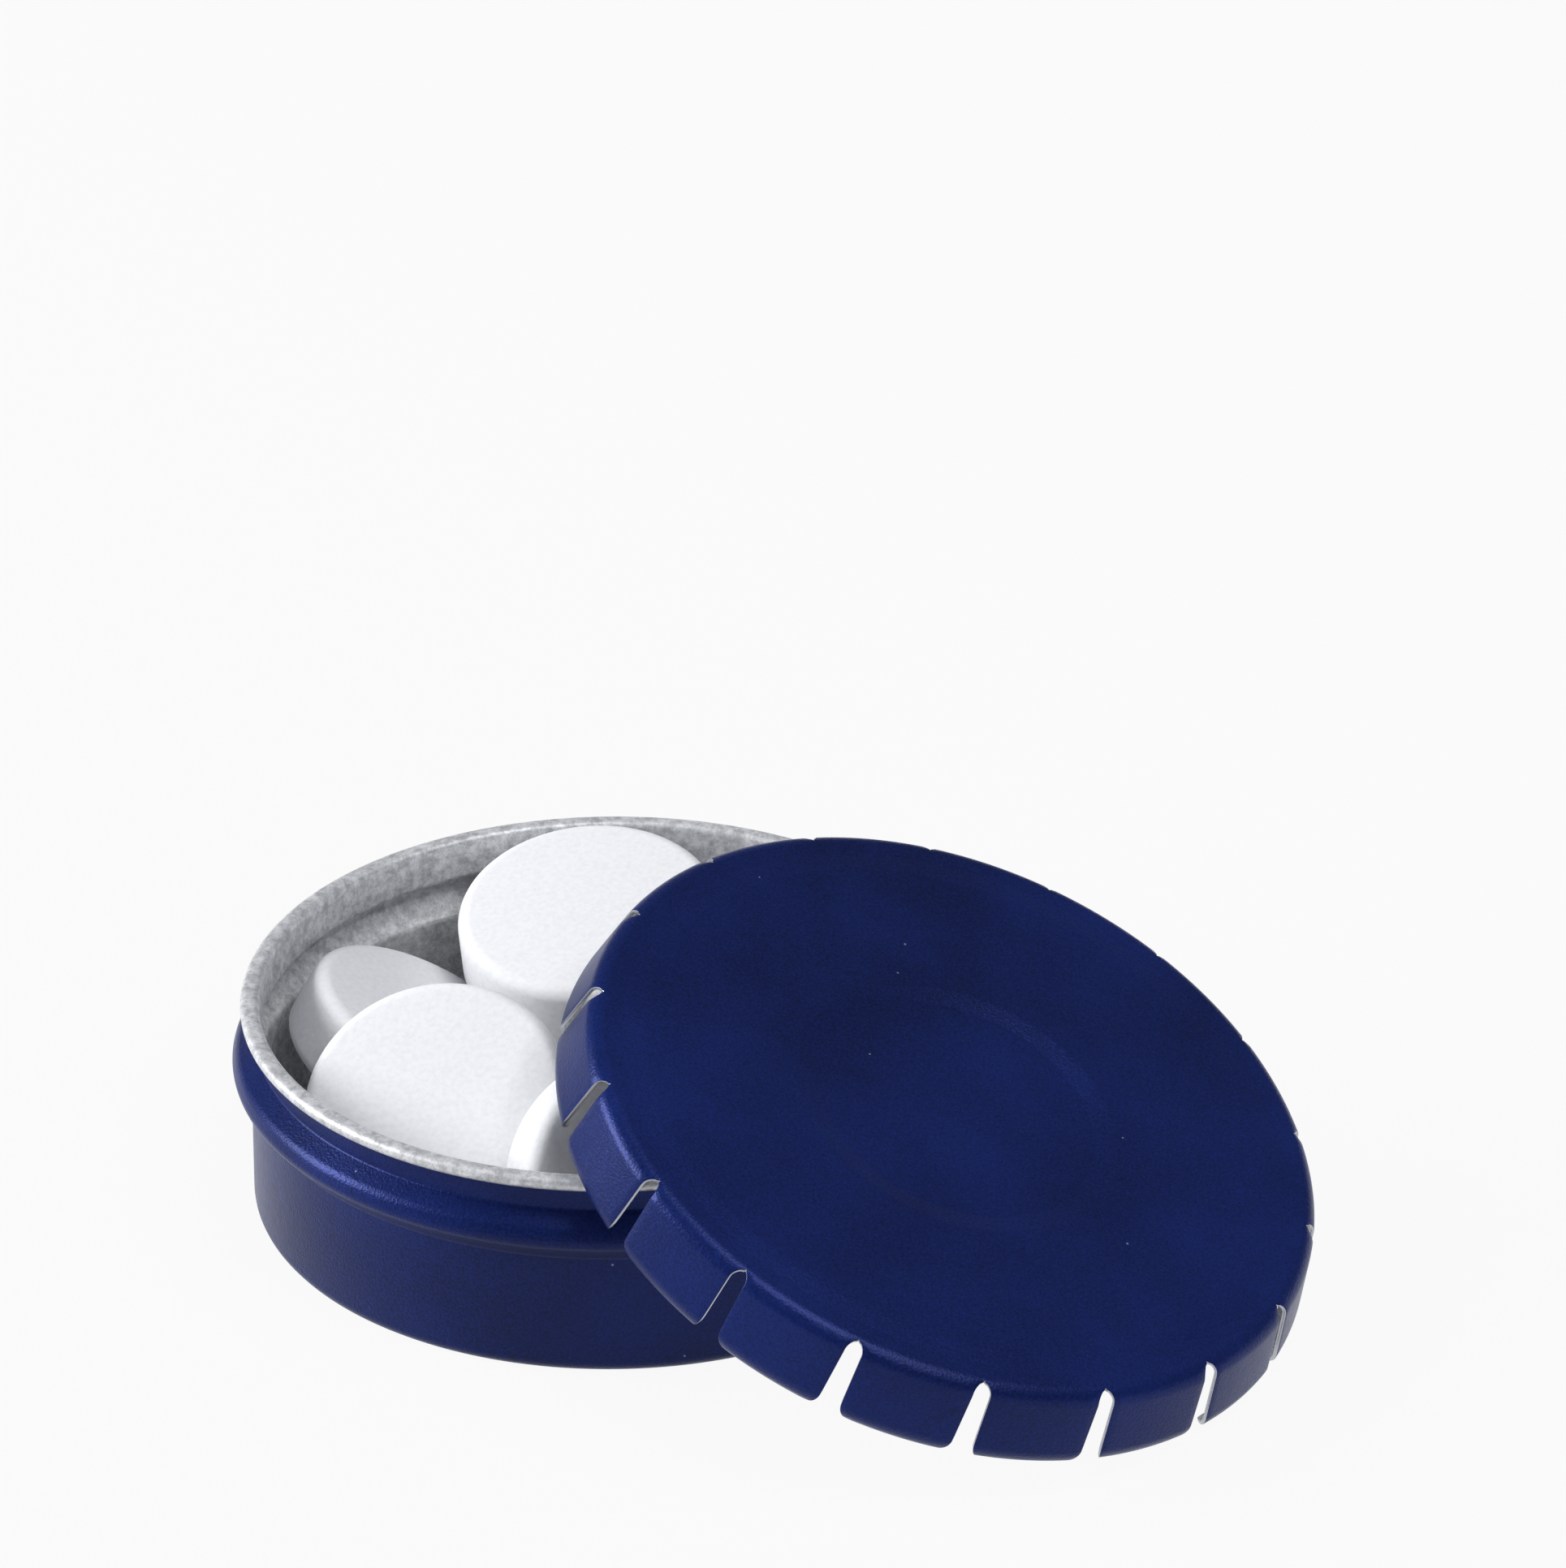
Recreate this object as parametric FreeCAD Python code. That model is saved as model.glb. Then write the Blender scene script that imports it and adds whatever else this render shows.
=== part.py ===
"""Round tin of mints with a click lid.

The lid is off: it leans on the rim of the base, with its lowest tab on the table.
Millimetres, +Z up, origin at the centre of the underside of the base.
"""
import FreeCAD, Part
import math
import os
from FreeCAD import Placement, Rotation, Vector

# Sheet and base
SHEET = 0.25               # tinplate
BASE_HEIGHT = 13.9         # table to the top of the rim
WALL_RADIUS = 22.3         # outside of the wall, below the bead
CORNER_BEND = 0.9          # outside radius where the floor turns up into the wall
FOOT_WIDTH = 2.4           # ring that the base stands on, measured in from the wall
RING_WIDTH = 10.9          # ring pressed up inside the foot
FLOOR_RISE = 0.35          # how far it is pressed up; the middle is level with the foot
FLOOR_STEP = 0.9           # width of the slopes beside that ring
BEAD_DEPTH = 1.25          # how far the rolled bead stands out from the wall
BEAD_BOTTOM = 8.0          # where the bead leaves the wall
BEAD_HEIGHT = 3.6          # along the wall, up to the neck
BEAD_CREST = 1.4           # middle of the crest above the bottom; the slope above it is the longer
BEAD_FLAT = 0.9            # straight part at the crest
BEAD_BEND = 0.6            # bends of the bead, at the middle of the sheet
NECK_STEP = 0.35           # the neck above the bead is this much narrower than the wall
CURL_WIDTH = 0.95          # outside of the neck to outside of the curled rim
CURL_HEIGHT = 1.1          # top of the rim to the tucked edge
CURL_BEND = 0.4            # bends of the curl, at the middle of the sheet
CURL_TUCK = 0.15           # gap left between the tucked edge and the neck

# Lid, heights measured down from the flat ring at its edge
LID_ROOM = 0.4             # outside of the lid's edge, past the rim that it closes over
LID_BEND = 1.1             # outside radius where the panel turns down into the tabs
PANEL_MARGIN = 3.3         # edge of the lid to the edge of the raised panel
PANEL_RISE = 0.1           # the panel stands this much above the ring at the edge
BUTTON_SHARE = 0.38        # radius of the middle that is pressed to click, as a share of the lid's
BUTTON_DROP = 0.12         # how far it lies below the ring
STEP_WIDTH = 1.4           # of the slopes around panel and button
STEP_BEND = 2.0            # soft bends beside slopes
TAB_COUNT = 18
TAB_FLARE = 0.9            # how far the tabs flare beyond the edge of the lid
TAB_KNEE = 4.7             # depth of that place
LIP_TURN = 0.9             # how far the lips turn back in, to hook under the bead
LIP_DEPTH = 5.6            # depth of the lips' edge
LIP_BEND = 1.1
TAB_CORNER = 2.0           # rounded lower corners of the tabs
SLOT_TOP = 1.05            # slot width at its round end
SLOT_FOOT = 1.3            # and where the rounded corners start
SLOT_START = 0.2           # depth of the round ends

# How the lid lies
LID_BEARING = -34.0        # degrees from +X, the way down the slope
LID_OVERHANG = 3.0         # centre of the lid, beyond the rim
LID_ASIDE = -0.6           # centre of the lid, to the left of the way down
LID_CLEAR = 0.25           # left between the lid and the rim or the mint that it lies on

# Mints
MINT_RADIUS = 8.25
MINT_HEIGHT = 4.8
MINT_EDGE = 0.9            # rounding
MINT_CLEAR = 0.2           # left between mints, and between mints and tin

# Each mint lies against the wall: bearing, tilt and the bearing of its upper face, in degrees.
# They are set down in this order, so that each rests on the ones before it.
PILE = {
    "mint_left": (156.0, 29.0, 5.0),
    "mint_floor_back": (64.0, 0.0, 0.0),
    "mint_floor_right": (-15.0, 0.0, 0.0),
    "mint_front_left": (219.5, 32.5, -108.0),
    "mint_back": (96.5, 13.0, -110.0),
    "mint_front": (-82.4, 63.0, -66.0),
    "mint_right": (1.0, 3.0, 170.0),
}

HALF = SHEET / 2.0
NECK_RADIUS = WALL_RADIUS - NECK_STEP
RIM_RADIUS = NECK_RADIUS + CURL_WIDTH
LID_RADIUS = RIM_RADIUS + LID_ROOM
TAB_RADIUS = LID_RADIUS + TAB_FLARE
LIP_RADIUS = TAB_RADIUS - LIP_TURN
LAST_STEP = 0.01           # a mint has landed when it comes no further down than this
DROP_TRIES = 60
LEAN_TRIES = 30
LEAN_STEP = 1.0            # degrees, by which the lid is raised while a mint is in its way


def offset_corners(corners, distance):
    """Move a bent line sideways: corners are (radius, height, bend) and left is positive."""
    moved = []
    for i, (r, z, bend) in enumerate(corners):
        sides = []
        for a, b in ((i - 1, i), (i, i + 1)):
            if a >= 0 and b < len(corners):
                run = Vector(corners[b][0] - corners[a][0], 0, corners[b][1] - corners[a][1])
                sides.append(Vector(-run.z, 0, run.x).normalize())
        if len(sides) == 1:
            shift = sides[0] * distance
            turn = 0.0
        else:
            middle = (sides[0] + sides[1]).normalize()
            shift = middle * (distance / middle.dot(sides[0]))
            turn = sides[0].x * sides[1].z - sides[0].z * sides[1].x
        moved.append((r + shift.x, z + shift.z, bend - math.copysign(distance, turn) if turn else 0.0))
    return moved


def bent_line(corners):
    """Edges of a line whose inner corners are rounded by their bends."""
    points = [Vector(r, 0, z) for r, z, bend in corners]
    edges = []
    start = points[0]
    for i in range(1, len(points) - 1):
        back = (points[i - 1] - points[i]).normalize()
        ahead = (points[i + 1] - points[i]).normalize()
        half_angle = back.getAngle(ahead) / 2.0
        bend = corners[i][2]
        reach = bend / math.tan(half_angle)
        middle = (back + ahead).normalize()
        top = points[i] + middle * (bend / math.sin(half_angle) - bend)
        edges.append(Part.LineSegment(start, points[i] + back * reach).toShape())
        edges.append(Part.Arc(points[i] + back * reach, top, points[i] + ahead * reach).toShape())
        start = points[i] + ahead * reach
    edges.append(Part.LineSegment(start, points[-1]).toShape())
    return edges


def spun_sheet(corners):
    """Sheet metal spun about Z: corners follow the middle of the sheet, from the axis outward."""
    left = offset_corners(corners, HALF)
    right = offset_corners(corners, -HALF)
    ends = []
    for k in (0, -1):
        ends.append([Vector(side[k][0], 0, side[k][1]) for side in (left, right)])
    edges = bent_line(left) + bent_line(right)
    edges += [Part.LineSegment(*end).toShape() for end in ends]
    wire = Part.Wire(Part.__sortEdges__(edges))
    return Part.Face(wire).revolve(Vector(0, 0, 0), Vector(0, 0, 1), 360)


def tin_base():
    """Drawn cup: pressed floor, wall, rolled bead, neck and a rim curled outward."""
    wall = WALL_RADIUS - HALF
    bead = wall + BEAD_DEPTH
    neck = NECK_RADIUS - HALF
    rim = RIM_RADIUS - HALF
    top = BASE_HEIGHT - HALF
    foot = WALL_RADIUS - FOOT_WIDTH
    pad = foot - RING_WIDTH
    crest = BEAD_BOTTOM + BEAD_CREST
    return spun_sheet([
        (0.0, HALF, 0.0),
        (pad, HALF, STEP_BEND),
        (pad + FLOOR_STEP, FLOOR_RISE + HALF, STEP_BEND),
        (foot - FLOOR_STEP, FLOOR_RISE + HALF, STEP_BEND),
        (foot, HALF, STEP_BEND),
        (wall, HALF, CORNER_BEND - HALF),
        (wall, BEAD_BOTTOM, BEAD_BEND),
        (bead, crest - BEAD_FLAT / 2.0, BEAD_BEND),
        (bead, crest + BEAD_FLAT / 2.0, BEAD_BEND),
        (neck, BEAD_BOTTOM + BEAD_HEIGHT, BEAD_BEND),
        (neck, top, CURL_BEND),
        (rim, top, CURL_BEND),
        (rim, BASE_HEIGHT - CURL_HEIGHT + HALF, CURL_BEND - HALF),
        (NECK_RADIUS + CURL_TUCK, BASE_HEIGHT - CURL_HEIGHT + HALF, 0.0),
    ])


def lid_slot():
    """One slot of the skirt, round at the top and eased at the corners of its two tabs."""
    top = SLOT_TOP / 2.0
    foot = SLOT_FOOT / 2.0
    tip = -LIP_DEPTH - SHEET
    inside = LID_RADIUS - LID_BEND
    eased = TAB_CORNER * (1.0 - math.sqrt(0.5))

    def at(across, height):
        return Vector(inside, across, height)

    edges = []
    for side in (-1, 1):
        edges += [
            Part.Arc(at(side * (foot + TAB_CORNER), tip), at(side * (foot + eased), tip + eased),
                     at(side * foot, tip + TAB_CORNER)).toShape(),
            Part.LineSegment(at(side * foot, tip + TAB_CORNER),
                             at(side * top, -SLOT_START - top)).toShape(),
            Part.LineSegment(at(side * (foot + TAB_CORNER), tip),
                             at(side * (foot + TAB_CORNER), tip - SHEET)).toShape(),
        ]
    edges.append(Part.Arc(at(-top, -SLOT_START - top), at(0, -SLOT_START),
                          at(top, -SLOT_START - top)).toShape())
    edges.append(Part.LineSegment(at(-foot - TAB_CORNER, tip - SHEET),
                                  at(foot + TAB_CORNER, tip - SHEET)).toShape())
    face = Part.Face(Part.Wire(Part.__sortEdges__(edges)))
    return face.extrude(Vector(TAB_RADIUS + LID_BEND - inside, 0, 0))


def lid_sheet():
    """The stamped lid before its slots are cut: the ring at its edge at height 0, skirt downward."""
    edge = LID_RADIUS - HALF
    panel = PANEL_RISE - HALF
    button_edge = LID_RADIUS * BUTTON_SHARE
    panel_edge = LID_RADIUS - PANEL_MARGIN
    return spun_sheet([
        (0.0, -BUTTON_DROP - HALF, 0.0),
        (button_edge, -BUTTON_DROP - HALF, STEP_BEND),
        (button_edge + STEP_WIDTH, panel, STEP_BEND),
        (panel_edge, panel, STEP_BEND),
        (panel_edge + STEP_WIDTH, -HALF, STEP_BEND),
        (edge, -HALF, LID_BEND - HALF),
        (TAB_RADIUS - HALF, -TAB_KNEE, LIP_BEND),
        (LIP_RADIUS - HALF, -LIP_DEPTH, 0.0),
    ])


def slotted(lid):
    """Cut the skirt into tabs, with one tab centred on +X."""
    slots = []
    pitch = 360.0 / TAB_COUNT
    for k in range(TAB_COUNT):
        slot = lid_slot()
        slot.rotate(Vector(0, 0, 0), Vector(0, 0, 1), (k + 0.5) * pitch)
        slots.append(slot)
    return lid.cut(Part.makeCompound(slots)).Solids[0]


def lid_lean(away):
    """Lean in degrees at which the lips on both sides lie on the rim, with the lowest on the table."""
    flattest, steepest = 0.0, 80.0
    for _ in range(LEAN_TRIES):
        middle = (flattest + steepest) / 2.0
        lean = math.radians(middle)
        over_rim = []
        for k in range(720):
            turn = math.radians(k / 2.0)
            x = away - LIP_DEPTH * math.sin(lean) + LIP_RADIUS * math.cos(turn) * math.cos(lean)
            y = LID_ASIDE + LIP_RADIUS * math.sin(turn)
            if math.hypot(x, y) < RIM_RADIUS:
                over_rim.append(LIP_RADIUS * math.sin(lean) * (1.0 - math.cos(turn)))
        if min(over_rim) < BASE_HEIGHT + LID_CLEAR:
            flattest = middle
        else:
            steepest = middle
    return steepest


def leaning_lid(mints):
    """Stand the lid on the table on its lowest tab and lean it on the rim, or on a mint that is higher."""
    away = RIM_RADIUS + LID_OVERHANG
    lean = lid_lean(away)
    lid = slotted(lid_sheet())
    bearing = Rotation(Vector(0, 0, 1), LID_BEARING)
    for _ in range(LEAN_TRIES):
        spin = bearing * Rotation(Vector(0, 1, 0), lean)
        lid.Placement = Placement(Vector(0, 0, 0), spin)
        lift = -lid.optimalBoundingBox().ZMin
        place = bearing.multVec(Vector(away, LID_ASIDE, lift))
        lid.Placement = Placement(place, spin)
        if min(lid.distToShape(mint)[0] for mint in mints) >= LID_CLEAR:
            break
        lean += LEAN_STEP
    print("the lid leans", round(lean, 2), "degrees, with its centre at", [round(v, 2) for v in place])
    return lid


def flat_mint():
    """Pressed mint about the origin: a flat disc with rounded edges."""
    half = MINT_HEIGHT / 2.0
    ease = MINT_EDGE * (1.0 - math.sqrt(0.5))
    inner = MINT_RADIUS - MINT_EDGE

    def at(r, z):
        return Vector(r, 0, z)

    edges = [
        Part.LineSegment(at(0, -half), at(inner, -half)),
        Part.Arc(at(inner, -half), at(MINT_RADIUS - ease, ease - half), at(MINT_RADIUS, MINT_EDGE - half)),
        Part.LineSegment(at(MINT_RADIUS, MINT_EDGE - half), at(MINT_RADIUS, half - MINT_EDGE)),
        Part.Arc(at(MINT_RADIUS, half - MINT_EDGE), at(MINT_RADIUS - ease, half - ease), at(inner, half)),
        Part.LineSegment(at(inner, half), at(0, half)),
        Part.LineSegment(at(0, half), at(0, -half)),
    ]
    wire = Part.Wire([edge.toShape() for edge in edges])
    return Part.Face(wire).revolve(Vector(0, 0, 0), Vector(0, 0, 1), 360)


def set_down(bearing, tilt, facing, others):
    """Tip a mint, stand it against the wall and lower it until it meets the floor or a mint."""
    turn = math.radians(facing)
    outward = Vector(math.cos(math.radians(bearing)), math.sin(math.radians(bearing)), 0)
    spin = Rotation(Vector(-math.sin(turn), math.cos(turn), 0), tilt)
    normal = spin.multVec(Vector(0, 0, 1))

    def reach(direction):
        along = abs(normal.dot(direction))
        flat = MINT_RADIUS - MINT_EDGE
        return flat * math.sqrt(1.0 - along * along) + (MINT_HEIGHT / 2.0 - MINT_EDGE) * along + MINT_EDGE

    from_axis = NECK_RADIUS - SHEET - MINT_CLEAR - reach(outward)
    lowest = FLOOR_RISE + SHEET + MINT_CLEAR + reach(Vector(0, 0, 1))
    mint = flat_mint()
    height = lowest + BASE_HEIGHT + MINT_RADIUS * len(PILE)
    mint.Placement = Placement(outward * from_axis + Vector(0, 0, height), spin)
    for _ in range(DROP_TRIES):
        gap = min([other.distToShape(mint)[0] for other in others], default=height)
        down = min(gap - MINT_CLEAR, height - lowest)
        height -= down
        mint.Placement = Placement(outward * from_axis + Vector(0, 0, height), spin)
        if down < LAST_STEP:
            break
    return mint


def main():
    nodes = {}
    for name, (bearing, tilt, facing) in PILE.items():
        nodes[name] = set_down(bearing, tilt, facing, list(nodes.values()))
    nodes["click_lid"] = leaning_lid(list(nodes.values()))
    nodes["tin_base"] = tin_base()
    os.makedirs("parts", exist_ok=True)
    for name, shape in nodes.items():
        shape.exportStep("parts/" + name + ".step")
        middle = [round(v, 2) for v in shape.CenterOfMass]
        print(name, "valid" if shape.isValid() else "not valid", round(shape.Volume, 1), middle)


main()
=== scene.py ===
# %% [markdown]
# A small round tin of mints with a click lid. The base stands on the table with pressed mints in it,
# and the lid leans on its rim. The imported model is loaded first, as a fixed frame in metres: every
# piece made below goes where the frame has it, and rides on one of the frame's bodies.

# %% Load the frame
import math

import bmesh
import bpy
from mathutils import Matrix, Vector


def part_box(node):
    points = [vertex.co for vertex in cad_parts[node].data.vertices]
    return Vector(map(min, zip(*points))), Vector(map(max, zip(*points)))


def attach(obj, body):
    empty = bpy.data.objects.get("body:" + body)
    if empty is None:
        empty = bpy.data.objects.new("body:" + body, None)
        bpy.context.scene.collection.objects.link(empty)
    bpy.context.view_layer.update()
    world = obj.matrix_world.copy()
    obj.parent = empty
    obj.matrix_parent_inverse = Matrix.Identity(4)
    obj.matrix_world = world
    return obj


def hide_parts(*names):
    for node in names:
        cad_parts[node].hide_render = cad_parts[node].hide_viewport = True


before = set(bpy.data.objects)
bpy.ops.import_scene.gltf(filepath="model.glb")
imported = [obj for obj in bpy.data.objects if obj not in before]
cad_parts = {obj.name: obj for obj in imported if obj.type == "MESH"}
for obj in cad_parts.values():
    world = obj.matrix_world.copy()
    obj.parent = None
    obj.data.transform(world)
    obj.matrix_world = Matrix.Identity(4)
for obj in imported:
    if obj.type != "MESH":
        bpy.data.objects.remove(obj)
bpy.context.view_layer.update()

print("frame nodes:", sorted(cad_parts))

# %% [markdown]
# The camera stands where the photographer stood: well back with a long lens, looking down on the tin
# by a little under thirty degrees. The long lens keeps the ellipses of rim and lid nearly parallel.

# %% Camera
CAMERA_PLACE = (0.01059, -0.5874, 0.3491)
CAMERA_PITCH = 28.62
camera = bpy.data.objects.new("camera", bpy.data.cameras.new("camera"))
camera.data.lens = 251.6
camera.data.sensor_width = 36.0
camera.location = CAMERA_PLACE
camera.rotation_euler = (math.radians(90.0 - CAMERA_PITCH), 0.0, 0.0)
bpy.context.scene.collection.objects.link(camera)
bpy.context.scene.camera = camera
bpy.context.scene.view_settings.view_transform = "Standard"
print("camera distance:", round(Vector(CAMERA_PLACE).length, 3), "m")

# %% [markdown]
# Colours are written as they look on a screen, as hex values. A shader wants them linear, so one
# function converts them. One more function adds a shader node: it sets the node's options, then fills
# each input with a plain value or links it to another node's output.

# %% Colour and node helpers
def linear(hex_colour):
    channels = [int(hex_colour[i:i + 2], 16) / 255.0 for i in (1, 3, 5)]
    return [c / 12.92 if c <= 0.04045 else ((c + 0.055) / 1.055) ** 2.4 for c in channels] + [1.0]


def add_node(tree, kind, options=None, inputs=None):
    made = tree.nodes.new("ShaderNode" + kind)
    for name, value in (options or {}).items():
        setattr(made, name, value)
    for name, value in (inputs or {}).items():
        if isinstance(value, bpy.types.NodeSocket):
            tree.links.new(value, made.inputs[name])
        else:
            made.inputs[name].default_value = value
    return made


def new_material(name):
    material = bpy.data.materials.new(name)
    material.use_nodes = True
    tree = material.node_tree
    return material, tree, tree.nodes["Principled BSDF"]


def per_mm(size):
    return 1000.0 / size


print("navy in linear light:", [round(c, 4) for c in linear("#172C74")])

# %% [markdown]
# The lacquer is a satin stoving enamel, rolled onto the flat tinplate before it is stamped. It gives a
# deep navy with a soft, wide gloss. Up close the film has a fine orange peel, and some dust has settled
# on it. The peel is noise of a sixth of a millimetre, which shades the colour and works as a bump, and
# the dust is the middle of sparse Voronoi cells.

# %% Navy lacquer
lacquer, tree, shader = new_material("navy_stoved_lacquer")
spot = add_node(tree, "TexCoord").outputs["Object"]
cloud = add_node(tree, "TexNoise", None, {"Vector": spot, "Scale": per_mm(14.0), "Detail": 3.0})
peel = add_node(tree, "TexNoise", None, {"Vector": spot, "Scale": per_mm(0.16), "Detail": 2.0})
tone = add_node(tree, "Mix", {"data_type": "FLOAT"},
                {"Factor": 0.5, 2: cloud.outputs["Fac"], 3: peel.outputs["Fac"]})
navy = add_node(tree, "ValToRGB", None, {"Fac": tone.outputs[0]})
navy.color_ramp.elements[0].position = 0.36
navy.color_ramp.elements[0].color = linear("#0B1949")
navy.color_ramp.elements[1].position = 0.64
navy.color_ramp.elements[1].color = linear("#172C74")
dust = add_node(tree, "TexVoronoi", None, {"Vector": spot, "Scale": per_mm(2.2)})
small = add_node(tree, "Math", {"operation": "LESS_THAN"}, {0: dust.outputs["Distance"], 1: 0.035})
pick = add_node(tree, "SeparateColor", None, {"Color": dust.outputs["Color"]})
rare = add_node(tree, "Math", {"operation": "LESS_THAN"}, {0: pick.outputs["Red"], 1: 0.3})
speck = add_node(tree, "Math", {"operation": "MULTIPLY"}, {0: small.outputs[0], 1: rare.outputs[0]})
dusty = add_node(tree, "Mix", {"data_type": "RGBA"},
                 {"Factor": speck.outputs[0], 6: navy.outputs["Color"], 7: linear("#7E86B0")})
tree.links.new(dusty.outputs[2], shader.inputs["Base Color"])
film = add_node(tree, "TexNoise", None, {"Vector": spot, "Scale": per_mm(0.6), "Detail": 4.0})
gloss = add_node(tree, "MapRange", None, {"Value": film.outputs["Fac"], "To Min": 0.28, "To Max": 0.38})
tree.links.new(gloss.outputs["Result"], shader.inputs["Roughness"])
bump = add_node(tree, "Bump", None,
                {"Height": peel.outputs["Fac"], "Strength": 0.3, "Distance": 0.0001})
tree.links.new(bump.outputs["Normal"], shader.inputs["Normal"])
shader.inputs["Metallic"].default_value = 0.25
shader.inputs["Specular IOR Level"].default_value = 0.18
print("lacquer nodes:", len(tree.nodes))

# %% [markdown]
# Inside, the tinplate is bare. Tin crystallises in soft blotches as it cools, and the drawing of the
# cup scuffs it, so the metal is mottled: patches of two greys, each with its own roughness.

# %% Bare tinplate
tinplate, tree, shader = new_material("bare_drawn_tinplate")
spot = add_node(tree, "TexCoord").outputs["Object"]
blotch = add_node(tree, "TexNoise", None,
                  {"Vector": spot, "Scale": per_mm(0.8), "Detail": 8.0, "Roughness": 0.8})
grey = add_node(tree, "ValToRGB", None, {"Fac": blotch.outputs["Fac"]})
grey.color_ramp.elements[0].position = 0.4
grey.color_ramp.elements[0].color = linear("#B6B7BA")
grey.color_ramp.elements[1].position = 0.6
grey.color_ramp.elements[1].color = linear("#F0F1F3")
tree.links.new(grey.outputs["Color"], shader.inputs["Base Color"])
scuff = add_node(tree, "MapRange", None, {"Value": blotch.outputs["Fac"], "To Min": 0.62, "To Max": 0.3})
tree.links.new(scuff.outputs["Result"], shader.inputs["Roughness"])
grain = add_node(tree, "TexNoise", None, {"Vector": spot, "Scale": per_mm(0.3), "Detail": 3.0})
bump = add_node(tree, "Bump", None,
                {"Height": grain.outputs["Fac"], "Strength": 0.25, "Distance": 0.00008})
tree.links.new(bump.outputs["Normal"], shader.inputs["Normal"])
shader.inputs["Metallic"].default_value = 0.35
print("tinplate nodes:", len(tree.nodes))

# %% [markdown]
# Where the sheet was cut, the shear left a bright, narrow edge of steel. It is clean metal with a
# faint streak, and needs little more than its smoothness.

# %% Sheared edge
sheared, tree, shader = new_material("sheared_steel_edge")
spot = add_node(tree, "TexCoord").outputs["Object"]
streak = add_node(tree, "TexNoise", None, {"Vector": spot, "Scale": per_mm(0.25), "Detail": 2.0})
shine = add_node(tree, "MapRange", None, {"Value": streak.outputs["Fac"], "To Min": 0.22, "To Max": 0.42})
tree.links.new(shine.outputs["Result"], shader.inputs["Roughness"])
shader.inputs["Base Color"].default_value = linear("#B2B4BB")
shader.inputs["Metallic"].default_value = 1.0
print("edge nodes:", len(tree.nodes))

# %% [markdown]
# The mints are pressed from fine sugar and starch. The face is flat and matt, white with a breath of
# blue, and full of small grains and pits from the powder. Light goes a little way in, which softens the
# edges of shadows, so the shader has some subsurface scattering.

# %% Pressed powder
powder, tree, shader = new_material("pressed_mint_powder")
spot = add_node(tree, "TexCoord").outputs["Object"]
grains = add_node(tree, "TexNoise", None,
                  {"Vector": spot, "Scale": per_mm(0.35), "Detail": 4.0, "Roughness": 0.6})
tint = add_node(tree, "ValToRGB", None, {"Fac": grains.outputs["Fac"]})
tint.color_ramp.elements[0].position = 0.3
tint.color_ramp.elements[0].color = linear("#EDEEF1")
tint.color_ramp.elements[1].position = 0.6
tint.color_ramp.elements[1].color = linear("#F5F6F8")
tree.links.new(tint.outputs["Color"], shader.inputs["Base Color"])
pits = add_node(tree, "TexVoronoi", None, {"Vector": spot, "Scale": per_mm(0.5)})
pit = add_node(tree, "MapRange", None, {"Value": pits.outputs["Distance"], "From Max": 0.35})
height = add_node(tree, "Math", {"operation": "ADD"},
                  {0: grains.outputs["Fac"], 1: pit.outputs["Result"]})
bump = add_node(tree, "Bump", None,
                {"Height": height.outputs[0], "Strength": 0.12, "Distance": 0.0001})
tree.links.new(bump.outputs["Normal"], shader.inputs["Normal"])
shader.inputs["Roughness"].default_value = 0.8
shader.inputs["Specular IOR Level"].default_value = 0.3
shader.inputs["Subsurface Weight"].default_value = 0.15
shader.inputs["Subsurface Radius"].default_value = (0.001, 0.001, 0.001)
shader.inputs["Subsurface Scale"].default_value = 0.6
print("powder nodes:", len(tree.nodes))

# %% [markdown]
# Sheet metal is easiest to think of as a line that is spun about an axis. The line has corners, and
# each corner has a bend. Bevelling a single vertex of a wire turns that corner into an arc, so the
# profile is drawn with its corners in millimetres and the bevel rounds them. The bevel's offset is the
# length that an arc of the wanted radius takes from each side of its corner. A spun sheet is open, so
# Blender can't tell its outside: the face furthest from the axis decides.

# %% Profile helper
MM = 0.001
WELD = 0.0005


def bent_profile(corners, steps=6):
    mesh = bmesh.new()
    verts = [mesh.verts.new((radius, 0.0, height)) for radius, height, bend in corners]
    for a, b in zip(verts, verts[1:]):
        mesh.edges.new((a, b))
    for vert, before, corner, after in zip(verts[1:-1], corners, corners[1:-1], corners[2:]):
        radius, height, bend = corner
        back = Vector((before[0] - radius, before[1] - height))
        ahead = Vector((after[0] - radius, after[1] - height))
        offset = bend / math.tan(back.angle(ahead) / 2.0)
        bmesh.ops.bevel(mesh, geom=[vert], offset=offset, offset_type="OFFSET", segments=steps,
                        profile=0.5, affect="VERTICES", material=-1)
    return mesh


def spun(mesh, count):
    bmesh.ops.spin(mesh, geom=mesh.verts[:] + mesh.edges[:], cent=(0, 0, 0), axis=(0, 0, 1),
                   angle=math.tau, steps=count, use_merge=True)
    bmesh.ops.remove_doubles(mesh, verts=mesh.verts, dist=WELD)
    bmesh.ops.recalc_face_normals(mesh, faces=mesh.faces)
    outermost = max(mesh.faces, key=lambda face: face.calc_center_median().to_2d().length)
    if outermost.normal.dot(outermost.calc_center_median()) < 0.0:
        bmesh.ops.reverse_faces(mesh, faces=mesh.faces)
    return mesh


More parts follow.
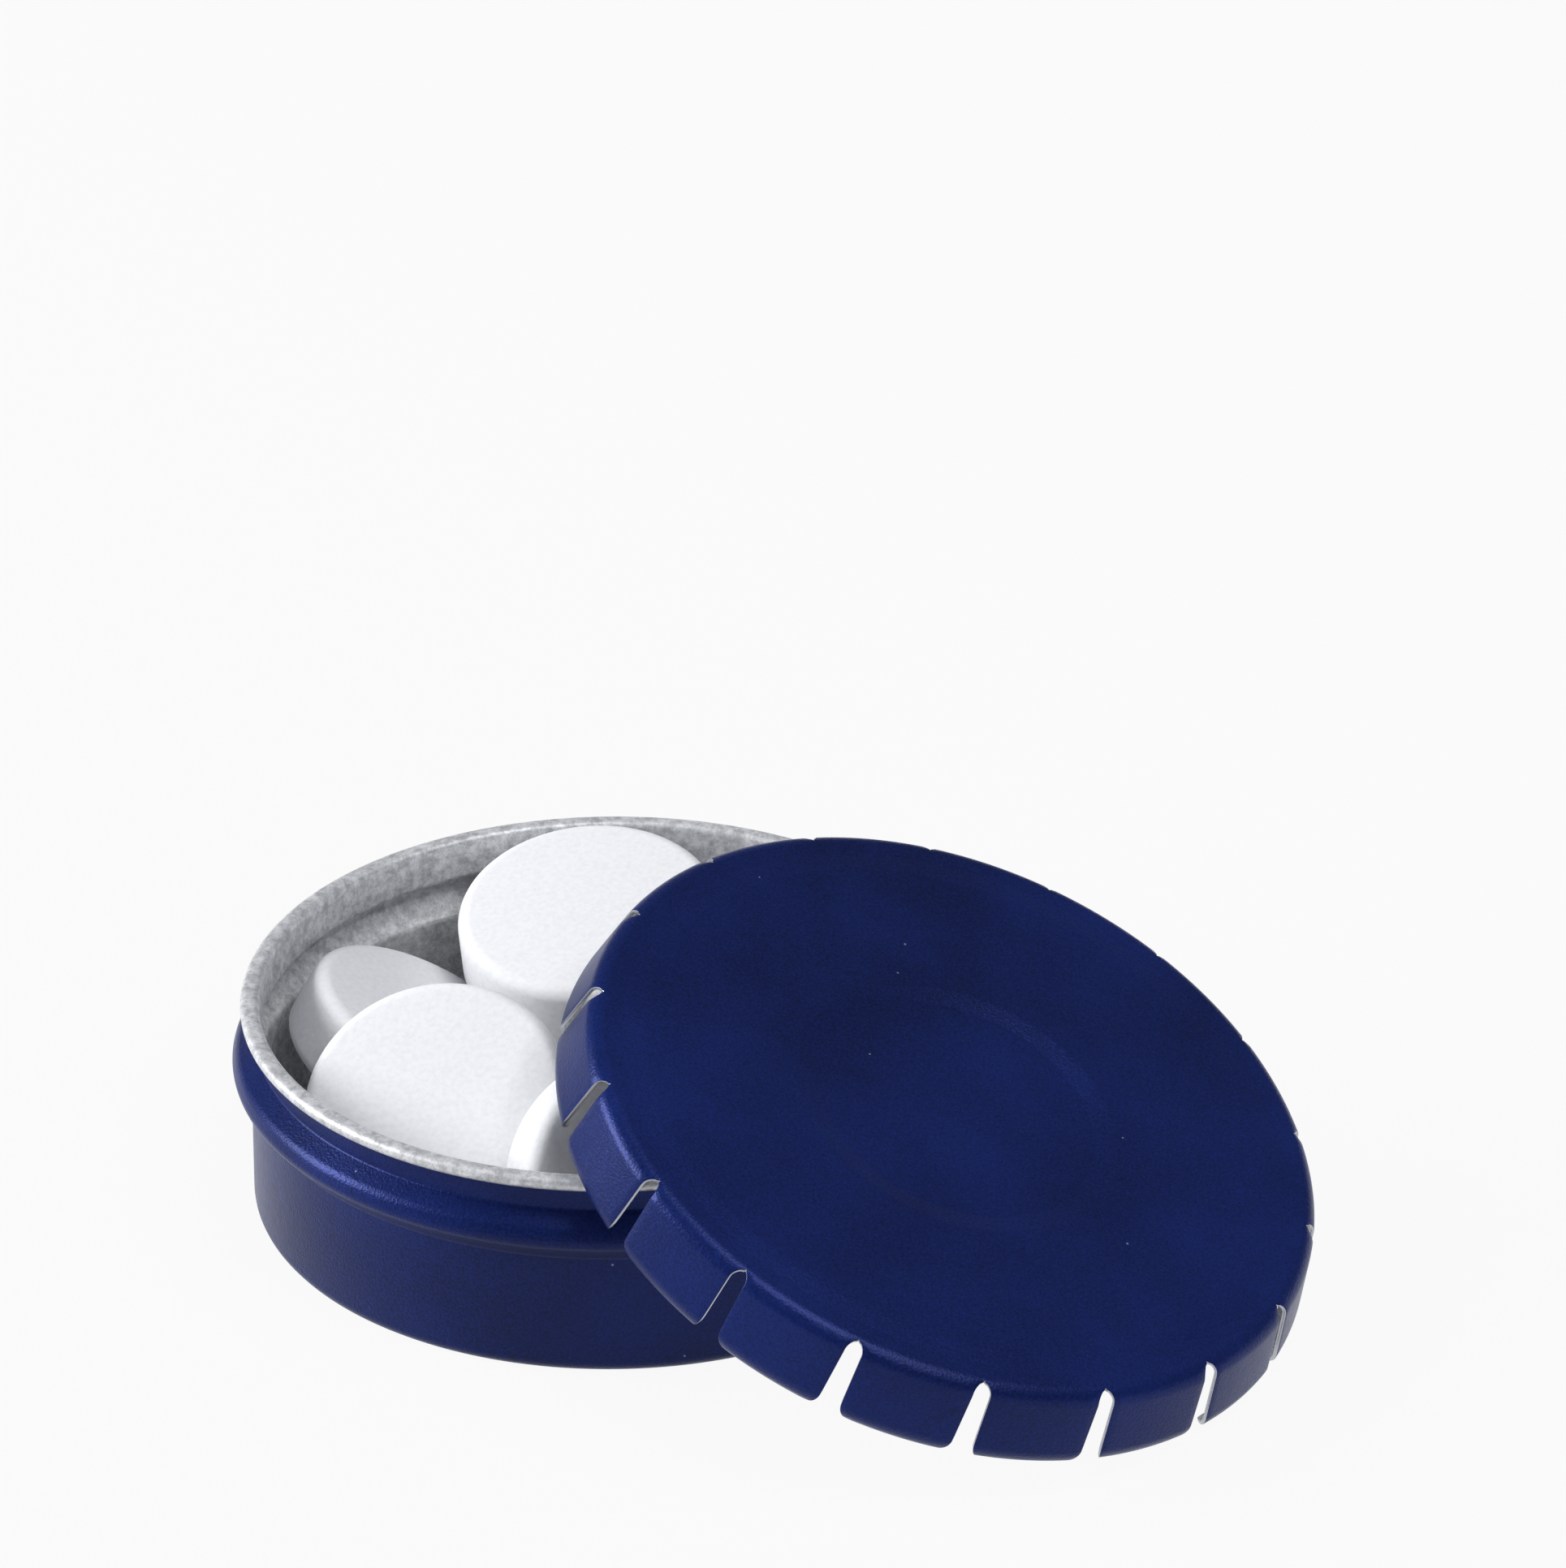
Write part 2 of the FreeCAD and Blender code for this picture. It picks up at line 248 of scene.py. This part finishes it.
def finished(mesh, name, place, materials):
    bmesh.ops.transform(mesh, matrix=Matrix.Scale(MM, 4) @ place, verts=mesh.verts)
    for face in mesh.faces:
        face.smooth = True
    data = bpy.data.meshes.new(name)
    mesh.to_mesh(data)
    mesh.free()
    for material in materials:
        data.materials.append(material)
    piece = bpy.data.objects.new(name, data)
    bpy.context.scene.collection.objects.link(piece)
    print(name, len(data.polygons), "faces")
    return piece


# %% [markdown]
# The base is a drawn cup. Its floor has a flat middle and a pressed ring, the wall carries a rolled
# bead that the lid snaps over, and above a narrower neck the edge is curled outward into a smooth rim.
# The profile follows the middle of the sheet, and a Solidify modifier gives it its quarter millimetre:
# its material offset makes the inner skin bare metal where the outer one is lacquer. The curl is rubbed
# smooth by the lid, so it gets the bright steel of the cut edges.

# %% Base
SHEET = 0.25
HALF = SHEET / 2.0
WALL = 22.3 - HALF
BEAD = 23.55 - HALF
NECK = 21.95 - HALF
RIM = 22.9 - HALF
RIM_TOP = 13.9 - HALF
CURL_FOOT = 13.2
RUBBED_FROM = 13.1
FLOOR_RING = 0.475
PRESSED = 2.0
CUP_STEPS = 240
cup = spun(bent_profile([
    (0.0, HALF, 0.0), (9.0, HALF, PRESSED), (9.9, FLOOR_RING, PRESSED), (19.0, FLOOR_RING, PRESSED),
    (19.9, HALF, PRESSED), (WALL, HALF, 0.775), (WALL, 8.25, 0.4), (BEAD, 9.6, 0.6), (23.1, 10.5, 0.8),
    (NECK, 11.3, 0.3), (NECK, RIM_TOP, 0.3), (RIM, RIM_TOP, 0.3), (RIM, CURL_FOOT, 0.25),
    (22.1, CURL_FOOT, 0.0)]), CUP_STEPS)
for face in cup.faces:
    face.material_index = 1 if face.calc_center_median().z > RUBBED_FROM else 0
base = finished(cup, "base_cup", Matrix.Identity(4), [lacquer, sheared, tinplate, tinplate])
wall = base.modifiers.new("sheet", "SOLIDIFY")
wall.thickness = SHEET * MM
wall.offset = 0.0
wall.use_even_offset = True
wall.material_offset = 2
wall.material_offset_rim = 1
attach(base, "base")
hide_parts("tin_base")

# %% [markdown]
# The lid is one stamped sheet. A round button sinks in its middle, a shallow step rings the panel, and
# the skirt is cut into spring tabs whose lower lips turn in to hook under the bead. It is spun like the
# base, then the skirt is split along one line per slot. Each tab is narrowed by pulling its columns of
# vertices towards its own middle, more at the slot's foot than at its round end, so the same move
# makes the slot, its round end and the tabs' rounded corners.

# %% Lid
TABS = 18
TAB_STEPS = 12
LID_EDGE = 23.3 - HALF
TAB_KNEE = 24.2 - HALF
LIP = 23.3 - HALF
BUTTON = -0.245
PANEL = -0.025
SLOT_TOP = 1.05
SLOT_FOOT = 1.3
SLOT_START = 0.2
LIP_DEPTH = 5.6
TAB_CORNER = 2.0
SKIRT_RADIUS = 22.2
SKIRT_TOP = -1.0
LONG_EDGE = 0.5
LEVEL = 1e-4


def half_slot(point):
    depth = -point.z
    if point.to_2d().length < SKIRT_RADIUS:
        return 0.0
    tip = LIP_DEPTH + SHEET
    past = depth - SLOT_START
    if past <= 0.0:
        return 0.0
    if past < SLOT_TOP / 2.0:
        return math.sqrt(past * (SLOT_TOP - past))
    share = (past - SLOT_TOP / 2.0) / (tip - TAB_CORNER - SLOT_START - SLOT_TOP / 2.0)
    half = SLOT_TOP / 2.0 + min(share, 1.0) * (SLOT_FOOT - SLOT_TOP) / 2.0
    left = max(tip - depth, 0.0)
    if left < TAB_CORNER:
        half += TAB_CORNER - math.sqrt(TAB_CORNER ** 2 - (TAB_CORNER - left) ** 2)
    return half


stamped = bent_profile([
    (0.0, BUTTON, 0.0), (8.85, BUTTON, PRESSED), (10.25, PANEL, PRESSED), (20.0, PANEL, PRESSED),
    (21.4, -HALF, PRESSED), (LID_EDGE, -HALF, 0.975), (TAB_KNEE, -4.7, 1.1),
    (LIP, -LIP_DEPTH, 0.0)], steps=14)
long_edges = [e for e in stamped.edges
              if e.calc_length() > LONG_EDGE and min(v.co.z for v in e.verts) < SKIRT_TOP]
bmesh.ops.subdivide_edges(stamped, edges=long_edges, cuts=8)
spun(stamped, TABS * TAB_STEPS)
pitch = math.tau / TABS


def tab_of(point):
    return round(math.atan2(point.y, point.x) / pitch)


seams = [e for e in stamped.edges
         if len({tab_of(f.calc_center_median()) % TABS for f in e.link_faces}) == 2
         and max(half_slot(v.co) for v in e.verts) > 0.0
         and abs(e.verts[0].co.z - e.verts[1].co.z) > LEVEL]
bmesh.ops.split_edges(stamped, edges=seams)
for vert in stamped.verts:
    half = half_slot(vert.co)
    if half > 0.0:
        tab = tab_of(vert.link_faces[0].calc_center_median())
        radius = vert.co.to_2d().length
        off = (math.atan2(vert.co.y, vert.co.x) - tab * pitch + math.pi) % math.tau - math.pi
        angle = tab * pitch + off * (1.0 - half / radius / (pitch / 2.0))
        vert.co.x = radius * math.cos(angle)
        vert.co.y = radius * math.sin(angle)
print("slot seams:", len(seams))

# %% [markdown]
# The lid has to lie where the frame's lid lies. Its two angles are known, and its place follows from a
# point that both very nearly share: the middle of all their surface. Each face counts by its area.

# %% Place the lid
LID_LEAN = 23.39
LID_BEARING = -34.0
EDGE_ROUND = 0.05


def surface_middle(mesh):
    total = 0.0
    summed = Vector()
    for face in mesh.faces:
        area = face.calc_area()
        total += area
        summed += face.calc_center_median() * area
    return summed / total


bearing = Matrix.Rotation(math.radians(LID_BEARING), 4, "Z")
turn = bearing @ Matrix.Rotation(math.radians(LID_LEAN), 4, "Y")
cad_lid = bmesh.new()
cad_lid.from_mesh(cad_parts["click_lid"].data)
there = surface_middle(cad_lid) / MM
cad_lid.free()
place = Matrix.Translation(there - turn @ surface_middle(stamped)) @ turn
lid = finished(stamped, "stamped_lid", place, [lacquer, sheared, tinplate])
skin = lid.modifiers.new("sheet", "SOLIDIFY")
skin.thickness = SHEET * MM
skin.offset = 0.0
skin.use_even_offset = True
skin.material_offset = 2
skin.material_offset_rim = 1
soft = lid.modifiers.new("sheared_edges", "BEVEL")
soft.width = EDGE_ROUND * MM
soft.segments = 2
soft.limit_method = "ANGLE"
soft.angle_limit = math.radians(50.0)
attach(lid, "lid")
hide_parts("click_lid")
print("lid centre, mm:", [round(c, 2) for c in place.translation])

# %% [markdown]
# A mint comes out of its press as a flat disc with rounded edges. All are alike, so one function spins
# the profile and turns it to its lie in the heap. A disc has the same middle as the box around it,
# however it is turned, so each one's place is the middle of its node's box.

# %% Mints
MINT_RADIUS = 8.25
MINT_HALF = 2.4
MINT_BEND = 0.9
MINT_STEPS = 96
LIES = {
    "mint_left": (29.0, 5.0, "base"),
    "mint_floor_back": (0.0, 0.0, "floor_back_mint"),
    "mint_floor_right": (0.0, 0.0, "floor_right_mint"),
    "mint_front_left": (32.5, -108.0, "front_left_mint"),
    "mint_back": (13.0, -110.0, "back_mint"),
    "mint_front": (63.0, -66.0, "base"),
    "mint_right": (3.0, 170.0, "right_mint"),
}


def mint(node, tilt, facing):
    disc = bent_profile([(0.0, -MINT_HALF, 0.0), (MINT_RADIUS, -MINT_HALF, MINT_BEND),
                         (MINT_RADIUS, MINT_HALF, MINT_BEND), (0.0, MINT_HALF, 0.0)], steps=8)
    spun(disc, MINT_STEPS)
    towards = math.radians(facing)
    tip = Matrix.Rotation(math.radians(tilt), 4, Vector((-math.sin(towards), math.cos(towards), 0.0)))
    low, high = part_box(node)
    middle = (Vector(low) + Vector(high)) / 2.0 / MM
    name = node.replace("mint_", "pressed_mint_")
    return finished(disc, name, Matrix.Translation(middle) @ tip, [powder])


for node, (tilt, facing, body) in LIES.items():
    piece = mint(node, tilt, facing)
    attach(piece, body)
    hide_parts(node)

# %% [markdown]
# The tin stands on a plain pale floor. It is a wide, flat sheet, white to the camera and in
# reflections, and part of its brightness is left to the lamps, so that it keeps the tin's shadow.

# %% Floor
FLOOR_REACH = 2000.0
FLOOR_GAP = 0.02
WHITE_SHARE = 0.93
sheet = bmesh.new()
bmesh.ops.create_grid(sheet, x_segments=4, y_segments=4, size=FLOOR_REACH)
paper, tree, shader = new_material("white_paper_floor")
floor = finished(sheet, "floor", Matrix.Translation((0.0, 0.0, -FLOOR_GAP)), [paper])
shader.inputs["Base Color"].default_value = linear("#B0B0B2")
shader.inputs["Roughness"].default_value = 0.9
shader.inputs["Specular IOR Level"].default_value = 0.1
rays = add_node(tree, "LightPath")
seen = add_node(tree, "Math", {"operation": "MAXIMUM"},
                {0: rays.outputs["Is Camera Ray"], 1: rays.outputs["Is Glossy Ray"]})
seen = add_node(tree, "Math", {"operation": "MAXIMUM"},
                {0: seen.outputs[0], 1: rays.outputs["Is Transmission Ray"]})
share = add_node(tree, "Math", {"operation": "MULTIPLY"}, {0: seen.outputs[0], 1: WHITE_SHARE})
white = add_node(tree, "Emission", None, {"Strength": 1.0})
blend = add_node(tree, "MixShader", None,
                 {0: share.outputs[0], 1: shader.outputs[0], 2: white.outputs[0]})
tree.links.new(blend.outputs[0], tree.nodes["Material Output"].inputs["Surface"])

# %% [markdown]
# The light is soft and comes mostly from the left and above. A large lamp on the left brightens the
# sides that face it, a weaker one overhead and a little to the right lifts the mints, and a small one in
# front draws a thin shine along the bends of the sheet. The world fills the shadows.

# %% Light
world = bpy.data.worlds.new("studio")
world.use_nodes = True
world.node_tree.nodes["Background"].inputs["Color"].default_value = linear("#DCE0EA")
world.node_tree.nodes["Background"].inputs["Strength"].default_value = 0.28
bpy.context.scene.world = world


def soft_lamp(name, place, size, power):
    lamp = bpy.data.objects.new(name, bpy.data.lights.new(name, "AREA"))
    lamp.data.shape = "DISK"
    lamp.data.size = size
    lamp.data.energy = power
    lamp.location = place
    lamp.rotation_euler = Vector(place).to_track_quat("Z", "Y").to_euler()
    bpy.context.scene.collection.objects.link(lamp)


soft_lamp("key_left", (-0.66, 0.05, 0.3), 0.4, 4.9)
soft_lamp("overhead", (0.2, -0.12, 0.64), 0.4, 1.7)
soft_lamp("edge_front", (0.3, -0.45, 0.58), 0.08, 0.4)
